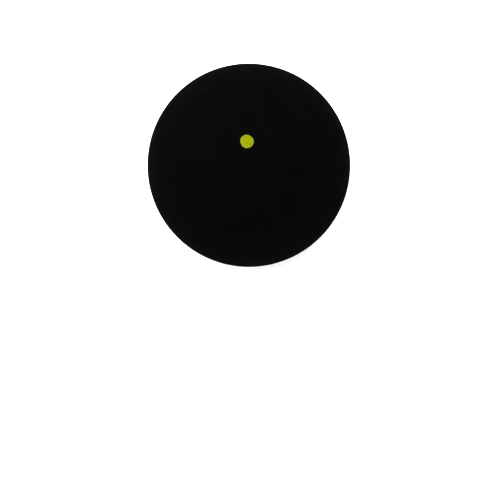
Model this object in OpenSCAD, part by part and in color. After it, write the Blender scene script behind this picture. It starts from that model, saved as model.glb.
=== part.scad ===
// Squash ball: a hollow rubber ball made of two moulded half shells, bonded rim to rim.
// Millimetres. The origin is the ball's centre, the seam lies in the XY plane and +Z runs out by the dot.
// Every piece is round about Z, so each one is a section in the XZ half plane, turned about that axis.

/* [Ball] */
// Outside diameter of the finished ball
ball_d = 40; // [36:0.5:46]
// Thickness of the rubber wall
wall_t = 5.2; // [3:0.1:8]

/* [Seam] */
// Thickness of the adhesive film between the two rims
film_t = 0.1; // [0.05:0.05:0.5]
// Width of the bevel round the inner edge of each rim, alike along the rim and up the wall
bevel_w = 0.5; // [0.2:0.1:1.5]
// How far the squeezed-out bead of adhesive stands in from the wall
bead_h = 0.35; // [0.1:0.05:0.6]
// How deep the film's outer edge lies below the buffed surface
film_inset = 0.04; // [0.01:0.01:0.2]

/* [Dot] */
// Diameter of the printed dot
dot_d = 2.5; // [1:0.1:8]
// Thickness of the ink film
ink_t = 0.04; // [0.02:0.01:0.2]
// Width of the slope in which the ink thins out round its edge
ink_edge_w = 0.12; // [0.05:0.01:0.3]

/* [Hidden] */
$fn = 180;

rubber_colour = "#1b1b1d";
adhesive_colour = "#4a3b26";
ink_colour = "#a3b20c";

// The wall: two concentric spheres
ball_r = ball_d / 2;
cavity_r = ball_r - wall_t;

// The joint: each rim stands half a film off the seam plane, and its bevel ends on the cavity wall
rim_z = film_t / 2;
bevel_top_z = rim_z + bevel_w;
bevel_foot = [cavity_r + bevel_w, rim_z];
bevel_top = [sqrt(pow(cavity_r, 2) - pow(bevel_top_z, 2)), bevel_top_z];
bevel_middle_r = (bevel_foot.x + bevel_top.x) / 2;

// The bead: a round arc that spans the mouth of the two bevels and stands bead_h in from it
bead_r = (pow(bevel_top_z, 2) + pow(bead_h, 2)) / (2 * bead_h);
bead_centre_r = bevel_top.x - bead_h + bead_r;

// The dot: its slope runs from the ball's surface up to the top of the ink
dot_r = dot_d / 2;
ink_r = ball_r + ink_t;
slope_top_r = dot_r - ink_edge_w;
slope_foot = [dot_r, sqrt(pow(ball_r, 2) - pow(dot_r, 2))];
slope_top = [slope_top_r, sqrt(pow(ink_r, 2) - pow(slope_top_r, 2))];

// A line that cuts through a wall runs on past its ends by this share of its length
overrun_share = 0.5;

// The point that a line reaches when it runs on past its second end
function past(first, second) = second + overrun_share * (second - first);

// The wall above the seam plane, from the rim to the pole
module wall_section() {
    difference() {
        intersection() {
            circle(r = ball_r);
            translate([0, rim_z]) square(ball_d);
        }
        circle(r = cavity_r);
    }
}

// What the bevel takes off the rim's inner corner
module bevel_section() {
    lower_end = past(bevel_top, bevel_foot);
    upper_end = past(bevel_foot, bevel_top);
    polygon([lower_end, upper_end, [upper_end.x, lower_end.y]]);
}

module half_shell_section() {
    difference() {
        wall_section();
        bevel_section();
    }
}

// The space between the two half shells: the film's gap, the bevels' wedge and the cavity beyond
module joint_section() {
    cavity_end = past(bevel_foot, bevel_top);
    upper = [[ball_d, rim_z], bevel_foot, cavity_end, [0, cavity_end.y]];
    lower = [for (i = [len(upper) - 1 : -1 : 0]) [upper[i].x, -upper[i].y]];
    polygon(concat(upper, lower));
}

// Fills the joint out to the film's outer edge: a circle makes the round front of the bead, and the block
// behind it starts halfway down the bevels
module adhesive_section() {
    intersection() {
        circle(r = ball_r - film_inset);
        joint_section();
        union() {
            translate([bead_centre_r, 0]) circle(r = bead_r);
            translate([bevel_middle_r, -bevel_top_z]) square([ball_d, 2 * bevel_top_z]);
        }
    }
}

// The ink lies on the ball's own surface and ends in a slope all round
module dot_section() {
    lower_end = past(slope_top, slope_foot);
    upper_end = past(slope_foot, slope_top);
    difference() {
        intersection() {
            circle(r = ink_r);
            polygon([[0, 0], lower_end, upper_end, [upper_end.x, ball_d], [0, ball_d]]);
        }
        circle(r = ball_r);
    }
}

module half_shell() {
    color(rubber_colour) rotate_extrude() half_shell_section();
}

module upper_half_shell() {
    half_shell();
}

module lower_half_shell() {
    mirror([0, 0, 1]) half_shell();
}

module seam_adhesive() {
    color(adhesive_colour) rotate_extrude() adhesive_section();
}

module yellow_dot() {
    color(ink_colour) rotate_extrude() dot_section();
}

upper_half_shell();
lower_half_shell();
seam_adhesive();
yellow_dot();
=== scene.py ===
"""Squash ball: the looks of a hollow rubber ball of two bonded half shells with one printed dot."""

import logging
import math
from collections.abc import Callable
from dataclasses import dataclass, field
from enum import Enum
from typing import TypeAlias

import bpy
from mathutils import Matrix, Vector


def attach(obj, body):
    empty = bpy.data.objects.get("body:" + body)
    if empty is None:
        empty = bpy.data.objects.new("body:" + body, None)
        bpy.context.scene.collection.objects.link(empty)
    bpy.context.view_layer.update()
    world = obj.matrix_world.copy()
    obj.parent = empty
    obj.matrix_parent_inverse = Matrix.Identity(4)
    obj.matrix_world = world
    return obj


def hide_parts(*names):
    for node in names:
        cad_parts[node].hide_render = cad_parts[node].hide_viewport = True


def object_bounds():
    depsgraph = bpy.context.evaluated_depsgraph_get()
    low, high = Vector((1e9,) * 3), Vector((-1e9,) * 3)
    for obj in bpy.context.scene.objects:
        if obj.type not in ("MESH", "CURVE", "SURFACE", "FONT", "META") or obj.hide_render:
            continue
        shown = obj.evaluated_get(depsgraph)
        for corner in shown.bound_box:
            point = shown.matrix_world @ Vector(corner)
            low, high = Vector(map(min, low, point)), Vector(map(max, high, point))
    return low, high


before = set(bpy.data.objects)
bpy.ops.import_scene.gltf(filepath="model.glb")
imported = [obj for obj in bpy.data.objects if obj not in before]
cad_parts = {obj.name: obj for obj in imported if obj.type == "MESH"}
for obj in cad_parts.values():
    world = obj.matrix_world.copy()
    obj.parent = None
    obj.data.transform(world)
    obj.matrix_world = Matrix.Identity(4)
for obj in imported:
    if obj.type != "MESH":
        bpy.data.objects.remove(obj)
CAD_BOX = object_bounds()

LOG = logging.getLogger("squash_ball")
BODY = "root"
MM = 0.001
MICRON = 0.000001
MERGE_DISTANCE = 1 * MICRON
SHARP_ANGLE = math.radians(30)

Colour: TypeAlias = tuple[float, float, float]
Number: TypeAlias = "Value | float"


class Side(Enum):
    """Which half of the ball a shell is. The value is its turn about X from the upper half's place."""

    UPPER = 0.0
    LOWER = math.pi


@dataclass(frozen=True)
class Value:
    """One output of a node, on which plain arithmetic adds Math nodes."""

    tree: "Tree"
    socket: bpy.types.NodeSocket

    def __add__(self, other: Number) -> "Value":
        """The sum."""
        return self.tree.math("ADD", self, other)

    def __radd__(self, other: float) -> "Value":
        """The sum, with a plain number first."""
        return self.tree.math("ADD", other, self)

    def __sub__(self, other: Number) -> "Value":
        """The difference."""
        return self.tree.math("SUBTRACT", self, other)

    def __rsub__(self, other: float) -> "Value":
        """A plain number less this value."""
        return self.tree.math("SUBTRACT", other, self)

    def __mul__(self, other: Number) -> "Value":
        """The product."""
        return self.tree.math("MULTIPLY", self, other)

    def __rmul__(self, other: float) -> "Value":
        """The product, with a plain number first."""
        return self.tree.math("MULTIPLY", other, self)

    def __truediv__(self, other: Number) -> "Value":
        """The quotient, which Blender gives as 0 where the divisor is 0."""
        return self.tree.math("DIVIDE", self, other)


class Tree:
    """Writes a node tree as formulas: each method adds a node and hands back what comes out of it."""

    PEBBLE_SOFTNESS = 0.6
    PEBBLE_EDGES = (0.1, 0.75)
    PIT_FLOOR_SHARE = 0.3

    def __init__(self, data: bpy.types.NodeTree) -> None:
        """Takes the empty tree that the nodes go into."""
        self.data = data

    def node(self, kind: str, inputs: dict | None = None, settings: dict | None = None) -> bpy.types.Node:
        """Adds one node.

        Args:
            kind: Blender's name of the node type.
            inputs: what each input socket gets, by name or place: a Value, a socket, or a constant.
            settings: the node's own properties by name.

        Returns:
            The new node.
        """
        made = self.data.nodes.new(kind)
        for name, setting in (settings or {}).items():
            setattr(made, name, setting)
        for key, given in (inputs or {}).items():
            self.feed(made.inputs[key], given)
        return made

    def feed(self, socket: bpy.types.NodeSocket, given: object) -> None:
        """Links a Value or a socket to an input, or sets the input to a constant.

        Args:
            socket: the input.
            given: what it gets.
        """
        if isinstance(given, Value):
            given = given.socket
        if isinstance(given, bpy.types.NodeSocket):
            self.data.links.new(given, socket)
        else:
            socket.default_value = given

    def value(self, kind: str, inputs: dict | None = None, settings: dict | None = None,
              output: int | str = 0) -> Value:
        """Adds one node and returns the named output of it, ready for arithmetic."""
        return Value(self, self.node(kind, inputs, settings).outputs[output])

    def math(self, operation: str, *terms: Number) -> Value:
        """Adds a Math node on one, two or three numbers."""
        return self.value("ShaderNodeMath", dict(enumerate(terms)), {"operation": operation})

    def smooth_step(self, value: Number, low: Number, high: Number) -> Value:
        """A soft step: 0 up to low, 1 from high on."""
        inputs = {"Value": value, "From Min": low, "From Max": high}
        return self.value("ShaderNodeMapRange", inputs, {"interpolation_type": "SMOOTHSTEP"})

    def span(self, value: Number, low: Number, high: Number) -> Value:
        """Spreads a value of 0 to 1 over low to high."""
        return self.value("ShaderNodeMapRange", {"Value": value, "To Min": low, "To Max": high})

    def vector(self, x: Number = 0.0, y: Number = 0.0, z: Number = 0.0) -> Value:
        """A vector of three numbers."""
        return self.value("ShaderNodeCombineXYZ", {"X": x, "Y": y, "Z": z})

    def parts(self, vector: Value) -> tuple[Value, Value, Value]:
        """The three numbers of a vector."""
        outputs = self.node("ShaderNodeSeparateXYZ", {"Vector": vector}).outputs
        return Value(self, outputs["X"]), Value(self, outputs["Y"]), Value(self, outputs["Z"])

    def scaled(self, vector: Value, factor: Number) -> Value:
        """A vector times a number."""
        return self.value("ShaderNodeVectorMath", {0: vector, "Scale": factor}, {"operation": "SCALE"})

    def length(self, vector: Value) -> Value:
        """The length of a vector."""
        return self.value("ShaderNodeVectorMath", {0: vector}, {"operation": "LENGTH"}, "Value")

    def off_axis(self, place: Value) -> Value:
        """How far a place lies from the Z axis."""
        x, y, _ = self.parts(place)
        return self.length(self.vector(x, y))

    def direction(self, vector: Value) -> Value:
        """The unit vector along a vector."""
        return self.value("ShaderNodeVectorMath", {0: vector}, {"operation": "NORMALIZE"})

    def noise(self, vector: Value, size: float, seed: Number = 0.0, detail: float = 0.0,
              roughness: float = 0.5) -> Value:
        """Cloudy noise of 0 to 1.

        Args:
            vector: where it is read, in metres.
            size: the size of one lump in metres.
            seed: the place along the noise's fourth axis, which sets the pattern.
            detail: how many finer layers are added.
            roughness: how strong each finer layer is beside the last.

        Returns:
            The noise.
        """
        layers = {"Detail": detail, "Roughness": roughness}
        inputs = {"Vector": vector, "W": seed, "Scale": 1.0 / size, **layers}
        return self.value("ShaderNodeTexNoise", inputs, {"noise_dimensions": "4D"})

    def bent(self, vector: Value, size: float, reach: float) -> Value:
        """A vector shifted about, so that a pattern read there loses its round forms.

        Args:
            vector: the vector in metres.
            size: the size of one lump of the shift in metres.
            reach: how far the shift goes to either side of its mean, in metres.

        Returns:
            The shifted vector.
        """
        cloud = self.value("ShaderNodeTexNoise", {"Vector": vector, "Scale": 1.0 / size}, output="Color")
        inputs = {0: cloud, 1: (2.0 * reach, 2.0 * reach, 2.0 * reach), 2: vector}
        return self.value("ShaderNodeVectorMath", inputs, {"operation": "MULTIPLY_ADD"})

    def pebbles(self, vector: Value, size: float) -> Value:
        """Rounded pebbles side by side.

        Args:
            vector: where they are read, in metres.
            size: the size of one pebble in metres.

        Returns:
            About 1 in the middle of each pebble and 0 in the gaps between them.
        """
        inputs = {"Vector": vector, "Scale": 1.0 / size, "Smoothness": self.PEBBLE_SOFTNESS}
        distance = self.value("ShaderNodeTexVoronoi", inputs, {"feature": "SMOOTH_F1"})
        return 1.0 - self.smooth_step(distance, *self.PEBBLE_EDGES)

    def pits(self, vector: Value, spacing: float, radius: float) -> Value:
        """Small round pits at random places: 1 in the middle of each one and 0 between them."""
        distance = self.value("ShaderNodeTexVoronoi", {"Vector": vector, "Scale": 1.0 / spacing})
        return 1.0 - self.smooth_step(distance, self.PIT_FLOOR_SHARE * radius / spacing, radius / spacing)

    def turned(self, vector: Value, turn: tuple[float, float, float]) -> Value:
        """A vector turned about the origin."""
        return self.value("ShaderNodeMapping", {"Vector": vector, "Rotation": turn})

    def swing(self, noise: Value) -> Value:
        """Turns noise of 0 to 1 into -1 to 1."""
        return noise * 2.0 - 1.0


class ShapeTree(Tree):
    """A Geometry Nodes tree with named inputs, which is run once and turned into a plain mesh."""

    SOCKETS = {float: "NodeSocketFloat", int: "NodeSocketInt", bpy.types.Material: "NodeSocketMaterial"}
    GRID_SIDES = 4.0

    def __init__(self, name: str, inputs: dict[str, object]) -> None:
        """Makes the tree's inputs and its ends.

        Args:
            name: the tree's name.
            inputs: each input's name and the value that it gets for this piece.
        """
        super().__init__(bpy.data.node_groups.new(name, "GeometryNodeTree"))
        self.name = name
        self.given = inputs
        for label, given in inputs.items():
            self.data.interface.new_socket(label, in_out="INPUT", socket_type=self.SOCKETS[type(given)])
        self.data.interface.new_socket("Geometry", in_out="OUTPUT", socket_type="NodeSocketGeometry")
        self.ends = self.node("NodeGroupInput"), self.node("NodeGroupOutput")

    def input(self, label: str) -> Value:
        """The named input of the tree."""
        return Value(self, self.ends[0].outputs[label])

    def position(self) -> Value:
        """The place of each point."""
        return self.value("GeometryNodeInputPosition")

    def grid(self, columns: Number, rows: Number) -> Value:
        """A flat grid of unit size about the origin, columns along X and rows along Y."""
        counts = {"Vertices X": self.math("ADD", columns, 1.0), "Vertices Y": self.math("ADD", rows, 1.0)}
        return self.value("GeometryNodeMeshGrid", {"Size X": 1.0, "Size Y": 1.0, **counts})

    def placed(self, mesh: Value, position: Value) -> Value:
        """The mesh with its points at new places."""
        return self.value("GeometryNodeSetPosition", {"Geometry": mesh, "Position": position})

    def shifted(self, mesh: Value, offset: Value) -> Value:
        """The mesh with its points moved by an offset."""
        return self.value("GeometryNodeSetPosition", {"Geometry": mesh, "Offset": offset})

    def flipped(self, mesh: Value) -> Value:
        """The mesh with its faces turned over."""
        return self.value("GeometryNodeFlipFaces", {"Mesh": mesh})

    def triangulated(self, mesh: Value) -> Value:
        """The mesh in triangles, each face cut along the diagonal that leaves no sliver."""
        return self.value("GeometryNodeTriangulate", {"Mesh": mesh}, {"quad_method": "BEAUTY"})

    def joined(self, *meshes: Value) -> Value:
        """All the meshes as one, with the points that coincide merged.

        Args:
            meshes: the meshes, in the order in which they are joined.

        Returns:
            The one mesh.
        """
        join = self.node("GeometryNodeJoinGeometry")
        for mesh in reversed(meshes):
            self.data.links.new(mesh.socket, join.inputs[0])
        inputs = {"Geometry": join.outputs[0], "Distance": MERGE_DISTANCE}
        return self.value("GeometryNodeMergeByDistance", inputs)

    def disc(self) -> tuple[Value, Value, Value]:
        """Reads a unit grid's points as an even round disc, without a crowded middle.

        Returns:
            X and Y on a disc of radius 1, and the distance from its middle.
        """
        a, b, _ = self.parts(self.scaled(self.position(), 2.0))
        wide = self.math("GREATER_THAN", self.math("ABSOLUTE", a), self.math("ABSOLUTE", b))
        major = b + wide * (a - b)
        minor = a + wide * (b - a)
        turn = minor / major * (math.pi / 4)
        along = major * self.math("COSINE", turn)
        across = major * self.math("SINE", turn)
        x = across + wide * (along - across)
        y = along + wide * (across - along)
        return x, y, self.math("ABSOLUTE", major)

    def cap(self, cells: Number, radius: Number, rim_height: Number) -> Value:
        """A cap of a sphere about the origin, of even faces, from the pole down to a height.

        Args:
            cells: how many faces lie along a side of the grid. The cap's rim has four times as many.
            radius: the sphere's radius.
            rim_height: where the cap ends.

        Returns:
            The cap as a mesh, with its faces outwards.
        """
        x, y, middle = self.disc()
        drop = 1.0 - self.math("DIVIDE", rim_height, radius)
        fallen = drop * middle * middle
        reach = self.math("SQRT", drop * (2.0 - fallen))
        place = self.vector(x * reach, y * reach, 1.0 - fallen)
        return self.placed(self.grid(cells, cells), self.scaled(place, radius))

    def band(self, segments: Number, rows: Number, section: Callable[[Value], tuple[Number, Number]],
             folds: bool = False) -> Value:
        """A band about Z.

        Args:
            segments: how many faces lie round it.
            rows: how many faces lie across it.
            section: gives the radius and the height of the point that is a share of 0 to 1 across it.
            folds: whether each row has half as many faces as the one before it.

        Returns:
            The band as a mesh. Its faces look to the left of the way across it, when X is to the right
            and Z is up.
        """
        x, y, _ = self.parts(self.position())
        share = y + 0.5
        place = self.math("ROUND", (x + 0.5) * segments)
        if folds:
            step = self.math("POWER", 2.0, self.math("ROUND", share * rows))
            place = self.math("SNAP", place + 0.5, step)
        turn = place / segments * math.tau
        radius, height = section(share)
        ring = self.vector(self.math("COSINE", turn) * radius, self.math("SINE", turn) * radius, height)
        return self.flipped(self.placed(self.grid(segments, rows), ring))

    def finished(self, mesh: Value, materials: list[tuple[str, Value | bool]]) -> None:
        """Shades the mesh smooth but for its sharp edges, gives it its materials and ends the tree.

        Args:
            mesh: the whole piece.
            materials: the name of each material's input, and which faces it goes on.
        """
        angle = self.value("GeometryNodeInputMeshEdgeAngle")
        sharp = self.math("GREATER_THAN", angle, SHARP_ANGLE)
        cut = self.triangulated(mesh)
        smooth = self.value("GeometryNodeSetShadeSmooth", {"Geometry": cut, "Shade Smooth": True})
        inputs = {"Geometry": smooth, "Selection": sharp, "Shade Smooth": False}
        creased = self.value("GeometryNodeSetShadeSmooth", inputs, {"domain": "EDGE"})
        out = self.value("GeometryNodeRealizeInstances", {"Geometry": creased})
        for label, faces in materials:
            inputs = {"Geometry": out, "Selection": faces, "Material": self.input(label)}
            out = self.value("GeometryNodeSetMaterial", inputs)
        self.feed(self.ends[1].inputs["Geometry"], out)

    def run(self, piece_name: str) -> bpy.types.Object:
        """Runs the tree on an empty mesh and keeps the result as a plain mesh at the origin.

        Args:
            piece_name: the new object's name.

        Returns:
            The object, with no modifier left on it.
        """
        piece = bpy.data.objects.new(piece_name, bpy.data.meshes.new(piece_name + "_start"))
        bpy.context.scene.collection.objects.link(piece)
        modifier = piece.modifiers.new(self.name, "NODES")
        modifier.node_group = self.data
        for item in self.data.interface.items_tree:
            if item.item_type == "SOCKET" and item.in_out == "INPUT":
                modifier[item.identifier] = self.given[item.name]
        evaluated = piece.evaluated_get(bpy.context.evaluated_depsgraph_get())
        mesh = bpy.data.meshes.new_from_object(evaluated)
        piece.modifiers.remove(modifier)
        start, piece.data = piece.data, mesh
        bpy.data.meshes.remove(start)
        mesh.name = piece_name
        return piece


@dataclass(frozen=True)
class BallSizes:
    """The ball's own sizes in metres, read from the frame's meshes."""

    ball: float
    cavity: float
    rim_height: float
    bevel_foot: float
    bevel_top: float
    bevel_top_height: float
    film_reach: float
    bead_reach: float
    dot: float
    ink: float

    @classmethod
    def from_frame(cls) -> "BallSizes":
        """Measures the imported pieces.

        Returns:
            The sizes that all the pieces of the scene are built from.
        """
        shell = [v.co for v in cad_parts["upper_half_shell"].data.vertices]
        ring = [v.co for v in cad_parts["seam_adhesive"].data.vertices]
        dot = [v.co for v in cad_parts["yellow_dot"].data.vertices]
        ball = max(p.z for p in shell)
        rim_height = min(p.z for p in shell)
        bevel_top_height = max(p.z for p in ring)
        return cls(
            ball=ball,
            cavity=min(p.length for p in shell),
            rim_height=rim_height,
            bevel_foot=min(p.xy.length for p in shell if p.z < rim_height + MERGE_DISTANCE),
            bevel_top=max(p.xy.length for p in ring if p.z > bevel_top_height - MERGE_DISTANCE),
            bevel_top_height=bevel_top_height,
            film_reach=max(p.xy.length for p in ring),
            bead_reach=min(p.xy.length for p in ring),
            dot=max(p.xy.length for p in dot),
            ink=max(p.z for p in dot) - ball,
        )


@dataclass(frozen=True)
class BuffedRelief:
    """The slight unevenness of a moulded and buffed rubber skin, as depths along the radius."""

    seed: int = 17
    swell_size: float = 7.0 * MM
    swell_depth: float = 14 * MICRON
    peel_size: float = 1.1 * MM
    peel_depth: float = 7 * MICRON
    seam_band: float = 1.6 * MM
    seam_depth: float = 12 * MICRON

    def depth(self, tree: ShapeTree, way: Value, radius: Value) -> Value:
        """How far the skin lies from the true sphere.

        Args:
            tree: the tree that it is worked out in.
            way: the unit vector from the ball's centre.
            radius: the true sphere's radius.

        Returns:
            The depth in metres, negative inwards.
        """
        place = tree.scaled(way, radius)
        swell = tree.swing(tree.noise(place, self.swell_size, float(self.seed), detail=1.0))
        peel = tree.swing(tree.noise(place, self.peel_size, float(self.seed), detail=1.5))
        height = tree.math("ABSOLUTE", tree.parts(place)[2])
        seam = 1.0 - tree.smooth_step(height, 0.0, self.seam_band)
        uneven = swell * self.swell_depth + peel * self.peel_depth
        return uneven - seam * self.seam_depth - (self.swell_depth + self.peel_depth)


@dataclass(frozen=True)
class Finish:
    """A surface finish: it has a name and builds one node material."""

    name: str

    def tree(self) -> tuple[Tree, bpy.types.Material, bpy.types.Node, Value]:
        """Starts the material.

        Returns:
            The tree, the material, its surface shader and the object coordinates.
        """
        material = bpy.data.materials.new(self.name)
        material.use_nodes = True
        shader = material.node_tree.nodes["Principled BSDF"]
        tree = Tree(material.node_tree)
        return tree, material, shader, tree.value("ShaderNodeTexCoord", output="Object")

    @staticmethod
    def blend(tree: Tree, share: Number, first: "Colour | Value", second: Colour) -> Value:
        """A mix of two colours.

        Args:
            tree: the material's tree.
            share: how much of the second colour there is, from 0 to 1.
            first: the first colour, plain or out of another mix.
            second: the second colour.

        Returns:
            The mixed colour.
        """
        start = first if isinstance(first, Value) else (*first, 1.0)
        inputs = {"Factor": share, "A": start, "B": (*second, 1.0)}
        mix = tree.node("ShaderNodeMix", settings={"data_type": "RGBA"})
        colour_inputs = {s.name: s for s in mix.inputs if s.enabled}
        for key, given in inputs.items():
            tree.feed(colour_inputs[key], given)
        return Value(tree, next(s for s in mix.outputs if s.enabled))

    @staticmethod
    def bump(tree: Tree, height: Value, depth: float, under: Value | None = None) -> Value:
        """A bump, laid over another where one is given.

        Args:
            tree: the material's tree.
            height: the relief, from 0 to 1.
            depth: how far 1 stands out, in metres. It goes in where the depth is negative.
            under: the bump that this one is laid over.

        Returns:
            The bumped normal.
        """
        inputs = {"Height": height, "Distance": depth, "Strength": 1.0}
        if under is not None:
            inputs["Normal"] = under
        return tree.value("ShaderNodeBump", inputs)


@dataclass(frozen=True)
class BuffedRubber(Finish):
    """Matt black rubber, buffed with a fine belt: a fine grain with small pits and short scuffs."""

    name: str = "buffed_black_rubber"
    radius: float = 20.0 * MM
    deep: Colour = (0.0081, 0.0083, 0.0097)
    lifted: Colour = (0.0145, 0.0148, 0.0169)
    scuffed: Colour = (0.0205, 0.0209, 0.0236)
    mottle_share: float = 0.25
    pebble_share: float = 0.2
    grain_share: float = 0.55
    tone_edges: tuple[float, float] = (0.3, 0.7)
    mottle_size: float = 3.0 * MM
    pebble_size: float = 0.36 * MM
    pebble_bend: float = 0.2 * MM
    pebble_depth: float = 12 * MICRON
    grain_size: float = 0.15 * MM
    grain_depth: float = 14 * MICRON
    pit_spacing: float = 0.8 * MM
    pit_radius: float = 0.09 * MM
    pit_depth: float = 30 * MICRON
    scuff_length: float = 2.8 * MM
    scuff_width: float = 0.08 * MM
    scuff_depth: float = 5 * MICRON
    scuff_edges: tuple[float, float] = (0.65, 0.77)
    scuff_fade_share: float = 0.7
    scuff_least_wear: float = 0.2
    scuff_grain_wear: float = 0.6
    scuff_axes: tuple[tuple[float, float, float], ...] = (
        (0.0, 0.0, 0.0),
        (0.9, 0.4, 0.0),
        (1.7, -0.5, 0.6),
        (2.4, 0.9, 1.2),
        (-0.6, 1.2, 2.1),
        (1.1, 2.0, -0.8),
    )
    scuff_band_share: float = 0.62
    seam_band: float = 0.9 * MM
    roughness: tuple[float, float] = (0.86, 1.0)
    specular: float = 0.08

    def arcs(self, tree: Tree, place: Value, seed: float, band: float) -> Value:
        """Short fine arcs about one axis, such as a belt leaves while the ball spins.

        Args:
            tree: the material's tree.
            place: the object coordinates, turned so that the axis is Z.
            seed: sets the pattern.
            band: how far to both sides of the middle plane the arcs reach.

        Returns:
            How strongly a point is marked, from 0 to 1.
        """
        stretch = self.scuff_width / self.scuff_length
        x, y, z = tree.parts(place)
        streak = tree.noise(tree.vector(x * stretch, y * stretch, z), self.scuff_width, seed, detail=0.5)
        inside = 1.0 - tree.smooth_step(tree.math("ABSOLUTE", z), band * self.scuff_fade_share, band)
        return tree.smooth_step(streak, *self.scuff_edges) * inside

    def scuffs(self, tree: Tree, place: Value) -> Value:
        """The marks of each way the ball was turned under the belt, and those that took off the flash.

        Args:
            tree: the material's tree.
            place: the object coordinates.

        Returns:
            How strongly a point is marked, from 0 to 1.
        """
        marks = self.arcs(tree, place, float(len(self.scuff_axes)), self.seam_band)
        for number, turn in enumerate(self.scuff_axes):
            band = self.radius * self.scuff_band_share
            family = self.arcs(tree, tree.turned(place, turn), float(number), band)
            marks = tree.math("MAXIMUM", marks, family)
        return marks

    def material(self) -> bpy.types.Material:
        """Builds the finish.

        Returns:
            The node material.
        """
        tree, material, shader, place = self.tree()
        mottle = tree.noise(place, self.mottle_size, detail=3.0, roughness=0.6)
        pebbles = tree.pebbles(tree.bent(place, self.pebble_size, self.pebble_bend), self.pebble_size)
        grain = tree.noise(place, self.grain_size, detail=3.0, roughness=0.7)
        pits = tree.pits(place, self.pit_spacing, self.pit_radius)
        marks = self.scuffs(tree, place)
        uneven = mottle * self.mottle_share + pebbles * self.pebble_share + grain * self.grain_share
        tone = tree.smooth_step(uneven, *self.tone_edges) * (1.0 - pits)
        rubbed = self.blend(tree, tone, self.deep, self.lifted)
        wear = marks * (self.scuff_least_wear + grain * self.scuff_grain_wear)
        tree.feed(shader.inputs["Base Color"], self.blend(tree, wear, rubbed, self.scuffed))
        tree.feed(shader.inputs["Roughness"], tree.span(tone, self.roughness[1], self.roughness[0]))
        tree.feed(shader.inputs["Specular IOR Level"], self.specular)
        pebbled = self.bump(tree, pebbles, self.pebble_depth)
        grained = self.bump(tree, grain, self.grain_depth, pebbled)
        pitted = self.bump(tree, pits, -self.pit_depth, grained)
        tree.feed(shader.inputs["Normal"], self.bump(tree, marks, -self.scuff_depth, pitted))
        return material


@dataclass(frozen=True)
class MouldedRubber(Finish):
    """The inside of a shell as it leaves the mould: smoother, with a haze of mould talc."""

    name: str = "moulded_black_rubber"
    deep: Colour = (0.012, 0.012, 0.0125)
    talc: Colour = (0.05, 0.05, 0.05)
    haze_edges: tuple[float, float] = (0.45, 0.75)
    haze_size: float = 2.2 * MM
    grain_size: float = 0.35 * MM
    grain_depth: float = 5 * MICRON
    roughness: tuple[float, float] = (0.48, 0.7)
    specular: float = 0.35

    def material(self) -> bpy.types.Material:
        """Builds the finish.

        Returns:
            The node material.
        """
        tree, material, shader, place = self.tree()
        cloud = tree.noise(place, self.haze_size, detail=4.0, roughness=0.65)
        haze = tree.smooth_step(cloud, *self.haze_edges)
        grain = tree.noise(place, self.grain_size, detail=2.0)
        tree.feed(shader.inputs["Base Color"], self.blend(tree, haze, self.deep, self.talc))
        tree.feed(shader.inputs["Roughness"], tree.span(haze, *self.roughness))
        tree.feed(shader.inputs["Specular IOR Level"], self.specular)
        tree.feed(shader.inputs["Normal"], self.bump(tree, grain, self.grain_depth))
        return material


@dataclass(frozen=True)
class CuredAdhesive(Finish):
    """Cured rubber solution: very dark brown with a dull skin, and buffed black at its outer edge."""

    name: str = "cured_rubber_solution"
    reach: float = 20.0 * MM
    buffed: Colour = (0.0078, 0.0080, 0.0093)
    buffed_width: float = 0.25 * MM
    deep: Colour = (0.012, 0.0095, 0.007)
    amber: Colour = (0.048, 0.031, 0.017)
    cloud_size: float = 1.2 * MM
    ripple_size: float = 0.3 * MM
    ripple_depth: float = 8 * MICRON
    roughness: tuple[float, float] = (0.5, 1.0)
    specular: float = 0.1

    def material(self) -> bpy.types.Material:
        """Builds the finish.

        Returns:
            The node material.
        """
        tree, material, shader, place = self.tree()
        cloud = tree.noise(place, self.cloud_size, detail=3.0)
        ripple = tree.noise(place, self.ripple_size, detail=1.0)
        out = tree.smooth_step(tree.off_axis(place), self.reach - self.buffed_width, self.reach)
        clouded = self.blend(tree, cloud, self.deep, self.amber)
        tree.feed(shader.inputs["Base Color"], self.blend(tree, out, clouded, self.buffed))
        dull = tree.math("MAXIMUM", cloud, out)
        tree.feed(shader.inputs["Roughness"], tree.span(dull, *self.roughness))
        tree.feed(shader.inputs["Specular IOR Level"], self.specular)
        tree.feed(shader.inputs["Normal"], self.bump(tree, ripple, self.ripple_depth))
        return material


@dataclass(frozen=True)
class DotInk(Finish):
    """Yellow-green printing ink: opaque, a little uneven, and paler and greener towards its rim."""

    name: str = "yellow_green_ink"
    reach: float = 1.25 * MM
    thin: Colour = (0.234, 0.266, 0.007)
    full: Colour = (0.266, 0.275, 0.007)
    rim: Colour = (0.230, 0.262, 0.060)
    rim_edges: tuple[float, float] = (0.4, 1.1)
    cloud_share: float = 0.7
    strength_edges: tuple[float, float] = (0.3, 0.6)
    cloud_size: float = 0.9 * MM
    grain_size: float = 0.16 * MM
    grain_depth: float = 7 * MICRON
    roughness: tuple[float, float] = (0.6, 0.8)
    specular: float = 0.1

    def material(self) -> bpy.types.Material:
        """Builds the finish.

        Returns:
            The node material.
        """
        tree, material, shader, place = self.tree()
        cloud = tree.noise(place, self.cloud_size, detail=2.0)
        grain = tree.noise(place, self.grain_size, detail=3.0, roughness=0.6)
        uneven = cloud * self.cloud_share + grain * (1.0 - self.cloud_share)
        strength = tree.smooth_step(uneven, *self.strength_edges)
        out = tree.smooth_step(tree.off_axis(place) / self.reach, *self.rim_edges)
        inked = self.blend(tree, strength, self.thin, self.full)
        tree.feed(shader.inputs["Base Color"], self.blend(tree, out, inked, self.rim))
        tree.feed(shader.inputs["Roughness"], tree.span(grain, *self.roughness))
        tree.feed(shader.inputs["Specular IOR Level"], self.specular)
        tree.feed(shader.inputs["Normal"], self.bump(tree, grain, self.grain_depth))
        return material


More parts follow.
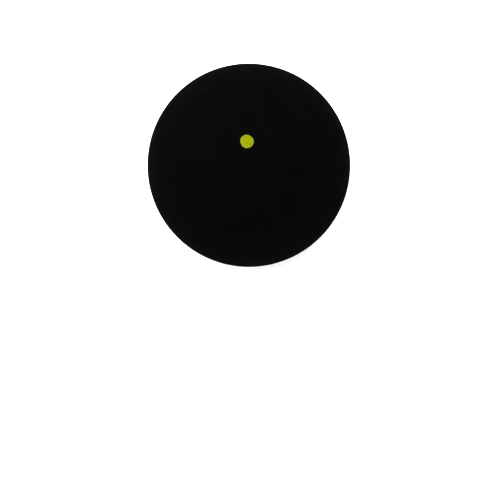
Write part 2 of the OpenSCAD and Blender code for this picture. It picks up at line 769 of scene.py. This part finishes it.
@dataclass(frozen=True)
class StudioPaper(Finish):
    """The white paper that the ball lies on."""

    name: str = "white_paper"
    dull: Colour = (0.84, 0.84, 0.84)
    bright: Colour = (0.88, 0.88, 0.88)
    cloud_size: float = 40.0 * MM
    roughness: float = 0.9
    specular: float = 0.1

    def material(self) -> bpy.types.Material:
        """Builds the finish.

        Returns:
            The node material.
        """
        tree, material, shader, place = self.tree()
        cloud = tree.noise(place, self.cloud_size, detail=2.0)
        tree.feed(shader.inputs["Base Color"], self.blend(tree, cloud, self.dull, self.bright))
        tree.feed(shader.inputs["Roughness"], self.roughness)
        tree.feed(shader.inputs["Specular IOR Level"], self.specular)
        return material


@dataclass
class HalfShell:
    """One moulded half of the ball, with its buffed skin, its rim, its bevel and its smooth inside."""

    side: Side
    sizes: BallSizes
    relief: BuffedRelief
    skin_cells: int = 288
    inner_share: int = 4
    edge_round: float = 0.03 * MM
    edge_rows: int = 4
    rim_rows: int = 6
    bevel_rows: int = 2
    fold_width: float = 0.5 * MM

    @property
    def node(self) -> str:
        """The CAD node that this half stands for."""
        return f"{self.side.name.lower()}_half_shell"

    def tree(self, skin: bpy.types.Material, inside: bpy.types.Material) -> ShapeTree:
        """Writes the shell's tree, for the upper half, which a turn about X makes the lower one.

        Args:
            skin: the finish of the outside.
            inside: the finish of the cavity wall and the rim.

        Returns:
            The tree, ready to run.
        """
        tree = ShapeTree(self.node, {
            "Ball Radius": self.sizes.ball,
            "Cavity Radius": self.sizes.cavity,
            "Rim Height": self.sizes.rim_height,
            "Bevel Foot": self.sizes.bevel_foot,
            "Bevel Top Height": self.sizes.bevel_top_height,
            "Edge Round": self.edge_round,
            "Fold Width": self.fold_width,
            "Skin Cells": self.skin_cells,
            "Turn": self.side.value,
            "Skin": skin,
            "Inside": inside,
        })
        ball, cavity = tree.input("Ball Radius"), tree.input("Cavity Radius")
        rim, foot = tree.input("Rim Height"), tree.input("Bevel Foot")
        top_height = tree.input("Bevel Top Height")
        top = tree.math("SQRT", cavity * cavity - top_height * top_height)
        cells, rounding = tree.input("Skin Cells"), tree.input("Edge Round")
        skin_end_height = rim + rounding
        skin_end = tree.math("SQRT", ball * ball - skin_end_height * skin_end_height)
        flat_start = skin_end - rounding
        fold_end = flat_start - tree.input("Fold Width")

        def edge(share: Value) -> tuple[Value, Value]:
            """The small round from the skin to the rim.

            Args:
                share: how far along the round the point lies, from 0 to 1.

            Returns:
                Its radius and height.
            """
            turn = share * (math.pi / 2)
            across, down = tree.math("COSINE", turn), tree.math("SINE", turn)
            return flat_start + rounding * across, skin_end_height - rounding * down

        def fold(share: Value) -> tuple[Value, Value]:
            """The outer part of the rim, where the faces grow wider."""
            return flat_start + share * (fold_end - flat_start), rim

        def flat(share: Value) -> tuple[Value, Value]:
            """The rest of the rim."""
            return fold_end + share * (foot - fold_end), rim

        def bevel(share: Value) -> tuple[Value, Value]:
            """The bevel up to the cavity wall."""
            return foot + share * (top - foot), rim + share * (top_height - rim)

        around = cells * tree.GRID_SIDES
        coarse = around / float(self.inner_share)
        shell = tree.joined(
            tree.cap(cells, ball, skin_end_height),
            tree.band(around, float(self.edge_rows), edge),
            tree.band(around, math.log2(self.inner_share), fold, folds=True),
            tree.band(coarse, float(self.rim_rows), flat),
            tree.band(coarse, float(self.bevel_rows), bevel),
            tree.flipped(tree.cap(cells / float(self.inner_share), cavity, top_height)),
        )
        turned = tree.value("GeometryNodeTransform", {
            "Geometry": shell,
            "Rotation": tree.vector(x=tree.input("Turn")),
        })
        place = tree.position()
        way = tree.direction(place)
        height = tree.math("ABSOLUTE", tree.parts(place)[2])
        outside = tree.math("GREATER_THAN", tree.length(place), ball - 2.0 * rounding)
        fade = tree.smooth_step(height, rim, skin_end_height)
        depth = self.relief.depth(tree, way, ball) * outside * fade
        buffed = tree.shifted(turned, tree.scaled(way, depth))
        tree.finished(buffed, [("Inside", True), ("Skin", outside)])
        return tree

    def build(self, skin: bpy.types.Material, inside: bpy.types.Material) -> bpy.types.Object:
        """Makes the piece and puts it in the place of its CAD node.

        Args:
            skin: the finish of the outside.
            inside: the finish of the cavity wall and the rim.

        Returns:
            The finished piece.
        """
        piece = self.tree(skin, inside).run(f"rubber_{self.side.name.lower()}_half")
        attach(piece, BODY)
        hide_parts(self.node)
        return piece


@dataclass
class SeamAdhesive:
    """The ring of adhesive: the film between the rims and the uneven bead inside."""

    sizes: BallSizes
    segments: int = 576
    bead_rows: int = 12
    film_rows: int = 6
    bevel_rows: int = 2
    wander: float = 0.3
    wander_size: float = 4.0 * MM
    seed: int = 5

    def tree(self, finish: bpy.types.Material) -> ShapeTree:
        """Writes the ring's tree.

        Args:
            finish: the ring's finish.

        Returns:
            The tree, ready to run.
        """
        tree = ShapeTree("seam_adhesive", {
            "Film Reach": self.sizes.film_reach,
            "Half Film": self.sizes.rim_height,
            "Bevel Foot": self.sizes.bevel_foot,
            "Bevel Top": self.sizes.bevel_top,
            "Bevel Top Height": self.sizes.bevel_top_height,
            "Bead Reach": self.sizes.bead_reach,
            "Segments": self.segments,
            "Seed": self.seed,
            "Adhesive": finish,
        })
        reach, half = tree.input("Film Reach"), tree.input("Half Film")
        foot, top = tree.input("Bevel Foot"), tree.input("Bevel Top")
        mouth, around = tree.input("Bevel Top Height"), tree.input("Segments")
        swell = top - tree.input("Bead Reach")
        arc = (mouth * mouth + swell * swell) / (swell * 2.0)
        half_turn = tree.math("ARCSINE", mouth / arc)

        def bead(share: Value) -> tuple[Value, Value]:
            """The round front of the bead.

            Args:
                share: how far from the bead's lower end to its upper one the point lies, from 0 to 1.

            Returns:
                Its radius and height.
            """
            turn = (share * 2.0 - 1.0) * half_turn
            out = tree.math("COSINE", turn) - tree.math("COSINE", half_turn)
            return top - arc * out, arc * tree.math("SINE", turn)

        def upper_bevel(share: Value) -> tuple[Value, Value]:
            """From the bead's upper end down the bevel to the film."""
            return top + share * (foot - top), mouth + share * (half - mouth)

        def upper_face(share: Value) -> tuple[Value, Value]:
            """The film's upper face, outwards."""
            return foot + share * (reach - foot), half

        def edge(share: Value) -> tuple[Value, Value]:
            """The film's outer edge, downwards."""
            return reach, half - share * 2.0 * half

        def lower_face(share: Value) -> tuple[Value, Value]:
            """The film's lower face, inwards."""
            return reach + share * (foot - reach), 0.0 - half

        def lower_bevel(share: Value) -> tuple[Value, Value]:
            """From the film up the lower bevel to the bead's lower end."""
            return foot + share * (top - foot), 0.0 - half - share * (mouth - half)

        ring = tree.joined(
            tree.band(around, float(self.bead_rows), bead),
            tree.band(around, float(self.bevel_rows), upper_bevel),
            tree.band(around, float(self.film_rows), upper_face),
            tree.band(around, 1.0, edge),
            tree.band(around, float(self.film_rows), lower_face),
            tree.band(around, float(self.bevel_rows), lower_bevel),
        )
        x, y, _ = tree.parts(tree.position())
        flat = tree.vector(x, y)
        proud = tree.math("MAXIMUM", top - tree.length(flat), 0.0)
        uneven = tree.noise(flat, self.wander_size, tree.input("Seed"), detail=1.0)
        slump = proud * uneven * self.wander
        beaded = tree.shifted(ring, tree.scaled(tree.direction(flat), slump))
        tree.finished(beaded, [("Adhesive", True)])
        return tree

    def build(self, finish: bpy.types.Material) -> bpy.types.Object:
        """Makes the ring and puts it in the place of its CAD node.

        Args:
            finish: the ring's finish.

        Returns:
            The finished piece.
        """
        piece = self.tree(finish).run("adhesive_ring")
        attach(piece, BODY)
        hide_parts("seam_adhesive")
        return piece


@dataclass
class PrintedDot:
    """The dot: a thin film of ink on the buffed skin, with a soft ridge round its edge."""

    sizes: BallSizes
    relief: BuffedRelief
    cells: int = 72
    ridge_height: float = 0.16
    ridge_start: float = 0.72
    slope_start: float = 0.93
    spread: float = 0.02
    wobble: float = 0.2
    wobble_size: float = 1.3
    grain_size: float = 0.17 * MM
    grain_depth: float = 3 * MICRON
    sink: float = 12 * MICRON
    seed: int = 56

    def tree(self, finish: bpy.types.Material) -> ShapeTree:
        """Writes the dot's tree.

        Args:
            finish: the ink.

        Returns:
            The tree, ready to run.
        """
        tree = ShapeTree("yellow_dot", {
            "Ball Radius": self.sizes.ball,
            "Dot Radius": self.sizes.dot,
            "Ink Thickness": self.sizes.ink,
            "Cells": self.cells,
            "Seed": self.seed,
            "Ink": finish,
        })
        ball, ink = tree.input("Ball Radius"), tree.input("Ink Thickness")
        cells, seed = tree.input("Cells"), tree.input("Seed")
        x, y, middle = tree.disc()
        rim_way = tree.direction(tree.vector(x, y))
        wobble = tree.swing(tree.noise(rim_way, self.wobble_size, seed, detail=2.0)) * self.wobble
        reach = tree.input("Dot Radius") / ball * (1.0 + self.spread + wobble)
        across, along = x * reach, y * reach
        up = tree.math("SQRT", 1.0 - across * across - along * along)
        way = tree.vector(across, along, up)
        skin = ball + self.relief.depth(tree, way, ball)
        ridge = tree.smooth_step(middle, self.ridge_start, self.slope_start)
        slope = 1.0 - tree.smooth_step(middle, self.slope_start, 1.0)
        grain = tree.swing(tree.noise(tree.scaled(way, ball), self.grain_size, seed, detail=2.0))
        film = ink * slope * (1.0 - self.ridge_height + ridge * self.ridge_height)
        top = skin + film + grain * self.grain_depth * slope - self.sink * (1.0 - slope)
        face = tree.placed(tree.grid(cells, cells), tree.scaled(way, top))
        back = tree.placed(tree.grid(cells, cells), tree.scaled(way, skin - self.sink))
        dot = tree.joined(face, tree.flipped(back))
        tree.finished(dot, [("Ink", True)])
        return tree

    def build(self, finish: bpy.types.Material) -> bpy.types.Object:
        """Makes the dot and puts it in the place of its CAD node.

        Args:
            finish: the ink.

        Returns:
            The finished piece.
        """
        piece = self.tree(finish).run("ink_dot")
        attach(piece, BODY)
        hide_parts("yellow_dot")
        return piece


@dataclass
class PhotoCamera:
    """The camera of the photograph, solved from the ball's outline and its known size."""

    focal_px: float = 1059.67
    image_px: float = 500.0
    sensor_mm: float = 36.0
    place: Vector = field(default_factory=lambda: Vector((3.309, -46.296, 205.600)) * MM)
    pitch: float = math.radians(8.150)
    yaw: float = math.radians(0.904)
    roll: float = math.radians(-0.292)
    clip: tuple[float, float] = (0.01, 20.0)

    def build(self) -> bpy.types.Object:
        """Makes the camera and has the scene use it.

        Returns:
            The camera.
        """
        data = bpy.data.cameras.new("photo_camera")
        data.sensor_width = self.sensor_mm
        data.lens = self.focal_px / self.image_px * self.sensor_mm
        data.clip_start, data.clip_end = self.clip
        turn = (
            Matrix.Rotation(self.roll, 3, "Z")
            @ Matrix.Rotation(self.pitch, 3, "X")
            @ Matrix.Rotation(self.yaw, 3, "Y")
        )
        camera = bpy.data.objects.new("photo_camera", data)
        camera.matrix_world = Matrix.Translation(self.place) @ turn.to_4x4()
        bpy.context.scene.collection.objects.link(camera)
        bpy.context.scene.camera = camera
        return camera


@dataclass(frozen=True)
class SoftLight:
    """A large even light far away, which is a sun lamp with a wide disc."""

    name: str
    azimuth: float
    elevation: float
    strength: float
    width: float

    def build(self) -> bpy.types.Object:
        """Hangs the light. Its azimuth is counted from +X towards +Y.

        Returns:
            The lamp.
        """
        data = bpy.data.lights.new(self.name, "SUN")
        data.energy = self.strength
        data.angle = math.radians(self.width)
        lamp = bpy.data.objects.new(self.name, data)
        azimuth, elevation = math.radians(self.azimuth), math.radians(self.elevation)
        level = math.cos(elevation)
        way = Vector((level * math.cos(azimuth), level * math.sin(azimuth), math.sin(elevation)))
        lamp.rotation_mode = "QUATERNION"
        lamp.rotation_quaternion = way.to_track_quat("Z", "Y")
        bpy.context.scene.collection.objects.link(lamp)
        return lamp


@dataclass
class Studio:
    """The white table, the lamps and the pale room."""

    floor_reach: float = 6.0
    horizon: float = 1.05
    zenith: float = 0.02
    dusk: tuple[float, float] = (0.17, 0.6)
    lights: tuple[SoftLight, ...] = (
        SoftLight("top_light", azimuth=130.0, elevation=84.0, strength=5.55, width=140.0),
        SoftLight("key_light", azimuth=130.0, elevation=50.0, strength=1.9, width=60.0),
    )
    display_gamma: float = 0.5

    def room(self) -> None:
        """Makes the pale surroundings, bright at the horizon and dimmer overhead."""
        world = bpy.data.worlds.new("studio_room")
        bpy.context.scene.world = world
        world.use_nodes = True
        tree = Tree(world.node_tree)
        way = tree.value("ShaderNodeTexCoord", output="Generated")
        rise = tree.math("ABSOLUTE", tree.parts(way)[2])
        light = tree.span(tree.smooth_step(rise, *self.dusk), self.horizon, self.zenith)
        background = world.node_tree.nodes["Background"]
        tree.feed(background.inputs["Strength"], light)
        tree.feed(background.inputs["Color"], (1.0, 1.0, 1.0, 1.0))

    def floor(self, height: float) -> bpy.types.Object:
        """Lays the table top.

        Args:
            height: the ball's lowest point.

        Returns:
            The floor.
        """
        reach = self.floor_reach
        ways = (-1, -1), (1, -1), (1, 1), (-1, 1)
        corners = [(reach * x, reach * y, height) for x, y in ways]
        mesh = bpy.data.meshes.new("table_top")
        mesh.from_pydata(corners, [], [(0, 1, 2, 3)])
        mesh.materials.append(StudioPaper().material())
        table = bpy.data.objects.new("table_top", mesh)
        bpy.context.scene.collection.objects.link(table)
        return table

    def build(self, floor_height: float) -> None:
        """Makes the room, the floor and the lamps, and sets the photograph's deep blacks.

        Args:
            floor_height: the ball's lowest point.
        """
        self.room()
        self.floor(floor_height)
        for light in self.lights:
            light.build()
        view = bpy.context.scene.view_settings
        view.view_transform = "Standard"
        view.look = "None"
        view.gamma = self.display_gamma


def report(piece: bpy.types.Object) -> None:
    """Logs a finished piece with its counts.

    Args:
        piece: the piece.
    """
    mesh = piece.data
    mesh.calc_loop_triangles()
    LOG.info("%s: %d points, %d triangles", piece.name, len(mesh.vertices), len(mesh.loop_triangles))


def main() -> None:
    """Builds the camera, the ball and the studio, and reports each piece."""
    logging.basicConfig(level=logging.INFO, format="%(name)s: %(message)s")
    sizes = BallSizes.from_frame()
    LOG.info("sizes: %s", sizes)
    relief = BuffedRelief()
    PhotoCamera().build()
    skin, inside = BuffedRubber(radius=sizes.ball).material(), MouldedRubber().material()
    for side in Side:
        report(HalfShell(side, sizes, relief).build(skin, inside))
    report(SeamAdhesive(sizes).build(CuredAdhesive(reach=sizes.film_reach).material()))
    report(PrintedDot(sizes, relief).build(DotInk(reach=sizes.dot).material()))
    Studio().build(CAD_BOX[0].z)


if __name__ == "__main__":
    main()
